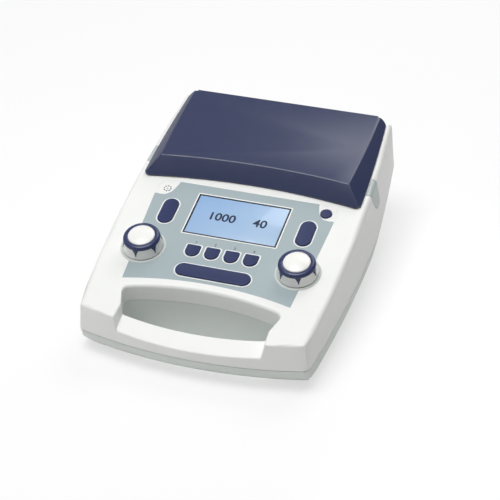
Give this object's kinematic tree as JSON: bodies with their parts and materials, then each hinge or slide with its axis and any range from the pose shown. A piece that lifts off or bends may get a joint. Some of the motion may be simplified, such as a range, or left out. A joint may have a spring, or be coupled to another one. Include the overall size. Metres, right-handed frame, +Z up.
{
  "type": "portable audiometer",
  "caption": "Portable audiometer: wedge case with a carrying handle, display, turning dials, soft keys, a hinged storage lid and press latches.",
  "frame": {"origin": "middle of the case's outline on the table, under the feet", "axes": "+Z up, +Y to the back of the case where the lid is, +X to the right as the operator sees it"},
  "size_m": [0.295, 0.4119, 0.1487],
  "materials": {
    "shell_white": "fine satin texture, warm white",
    "shell_grey": "fine satin texture, pale grey-green",
    "tray_grey": "satin, pale grey-green",
    "lid_blue": "smooth semi-gloss, dark blue",
    "latch_grey": "satin, pale grey-green",
    "overlay_slate": "fine matt film, grey-blue",
    "display_glass": "clear, lightly glossy",
    "foam_black": "soft foam",
    "module_metal": "plain sheet metal",
    "cable_film": "flat ribbon",
    "board_green": "solder mask",
    "mat_rubber": "silicone rubber",
    "key_blue": "satin, dark blue",
    "collar_white": "satin, off white",
    "dial_pearl": "pearly, semi-gloss",
    "ring_blue": "satin, dark blue",
    "cap_white": "smooth semi-gloss white",
    "pin_steel": "turned steel",
    "nut_brass": "plated",
    "bay_black": "matt black",
    "socket_metal": "nickel plated",
    "rubber_black": "matt rubber"
  },
  "bodies": {
    "case": {"lower_shell": "shell_grey", "upper_shell": "shell_white", "storage_tray": "tray_grey", "lid_bumpers": "rubber_black", "hinge_pins": "pin_steel", "latch_pins": "pin_steel", "panel_overlay": "overlay_slate", "display_window": "display_glass", "display_gasket": "foam_black", "display_module": "module_metal", "display_cable": "cable_film", "main_board": "board_green", "key_mat": "mat_rubber", "dial_collars": "collar_white", "encoders": "module_metal", "encoder_nuts": "nut_brass", "microphone": "bay_black", "speaker": "bay_black", "socket_bay": "bay_black", "socket_board": "board_green", "audio_sockets": "socket_metal", "power_inlet": "bay_black", "data_socket": "socket_metal", "socket_cable": "cable_film", "feet": "rubber_black", "shell_screws": "pin_steel", "board_screws": "pin_steel"},
    "lid": {"lid": "lid_blue"},
    "latch_left": {"latch_left": "latch_grey"},
    "latch_right": {"latch_right": "latch_grey"},
    "dial_left": {"knob_left": "dial_pearl", "knob_ring_left": "ring_blue", "knob_cap_left": "cap_white", "shaft_left": "pin_steel"},
    "dial_right": {"knob_right": "dial_pearl", "knob_ring_right": "ring_blue", "knob_cap_right": "cap_white", "shaft_right": "pin_steel"},
    "key_left": {"key_left": "key_blue"},
    "key_right": {"key_right": "key_blue"},
    "key_f1": {"key_f1": "key_blue"},
    "key_f2": {"key_f2": "key_blue"},
    "key_f3": {"key_f3": "key_blue"},
    "key_f4": {"key_f4": "key_blue"},
    "tone_bar": {"tone_bar": "key_blue"},
    "power_key": {"power_key": "key_blue"}
  },
  "joints": [
    {"name": "lid_hinge", "type": "hinge", "parent": "case", "child": "lid", "pos_m": [0, 0.16911, 0.14395], "axis": [-1, 0, 0], "range_deg": [0, 100]},
    {"name": "latch_left_press", "type": "hinge", "parent": "case", "child": "latch_left", "pos_m": [-0.141, 0.0696, 0.09295], "axis": [0, -0.9781, -0.2079], "range_deg": [0, 6], "stiffness_Nm_per_rad": 0.6, "springref_deg": -5.73},
    {"name": "latch_right_press", "type": "hinge", "parent": "case", "child": "latch_right", "pos_m": [0.141, 0.0696, 0.09295], "axis": [0, 0.9781, 0.2079], "range_deg": [0, 6], "stiffness_Nm_per_rad": 0.6, "springref_deg": -5.73},
    {"name": "dial_left_turn", "type": "hinge", "parent": "case", "child": "dial_left", "pos_m": [-0.0937, -0.087, 0.0842], "axis": [0, -0.2079, 0.9781], "continuous": true},
    {"name": "dial_right_turn", "type": "hinge", "parent": "case", "child": "dial_right", "pos_m": [0.0937, -0.087, 0.0842], "axis": [0, -0.2079, 0.9781], "continuous": true},
    {"name": "key_left_press", "type": "slide", "parent": "case", "child": "key_left", "axis": [0, 0.2079, -0.9781], "range_m": [0, 0.0015], "stiffness_N_per_m": 500, "springref_m": -0.001},
    {"name": "key_right_press", "type": "slide", "parent": "case", "child": "key_right", "axis": [0, 0.2079, -0.9781], "range_m": [0, 0.0015], "stiffness_N_per_m": 500, "springref_m": -0.001},
    {"name": "key_f1_press", "type": "slide", "parent": "case", "child": "key_f1", "axis": [0, 0.2079, -0.9781], "range_m": [0, 0.0012], "stiffness_N_per_m": 500, "springref_m": -0.001},
    {"name": "key_f2_press", "type": "slide", "parent": "case", "child": "key_f2", "axis": [0, 0.2079, -0.9781], "range_m": [0, 0.0012], "stiffness_N_per_m": 500, "springref_m": -0.001},
    {"name": "key_f3_press", "type": "slide", "parent": "case", "child": "key_f3", "axis": [0, 0.2079, -0.9781], "range_m": [0, 0.0012], "stiffness_N_per_m": 500, "springref_m": -0.001},
    {"name": "key_f4_press", "type": "slide", "parent": "case", "child": "key_f4", "axis": [0, 0.2079, -0.9781], "range_m": [0, 0.0012], "stiffness_N_per_m": 500, "springref_m": -0.001},
    {"name": "tone_bar_press", "type": "slide", "parent": "case", "child": "tone_bar", "axis": [0, 0.2079, -0.9781], "range_m": [0, 0.0015], "stiffness_N_per_m": 500, "springref_m": -0.001},
    {"name": "power_key_press", "type": "slide", "parent": "case", "child": "power_key", "axis": [0, 0.2079, -0.9781], "range_m": [0, 0.0015], "stiffness_N_per_m": 500, "springref_m": -0.001}
  ]
}
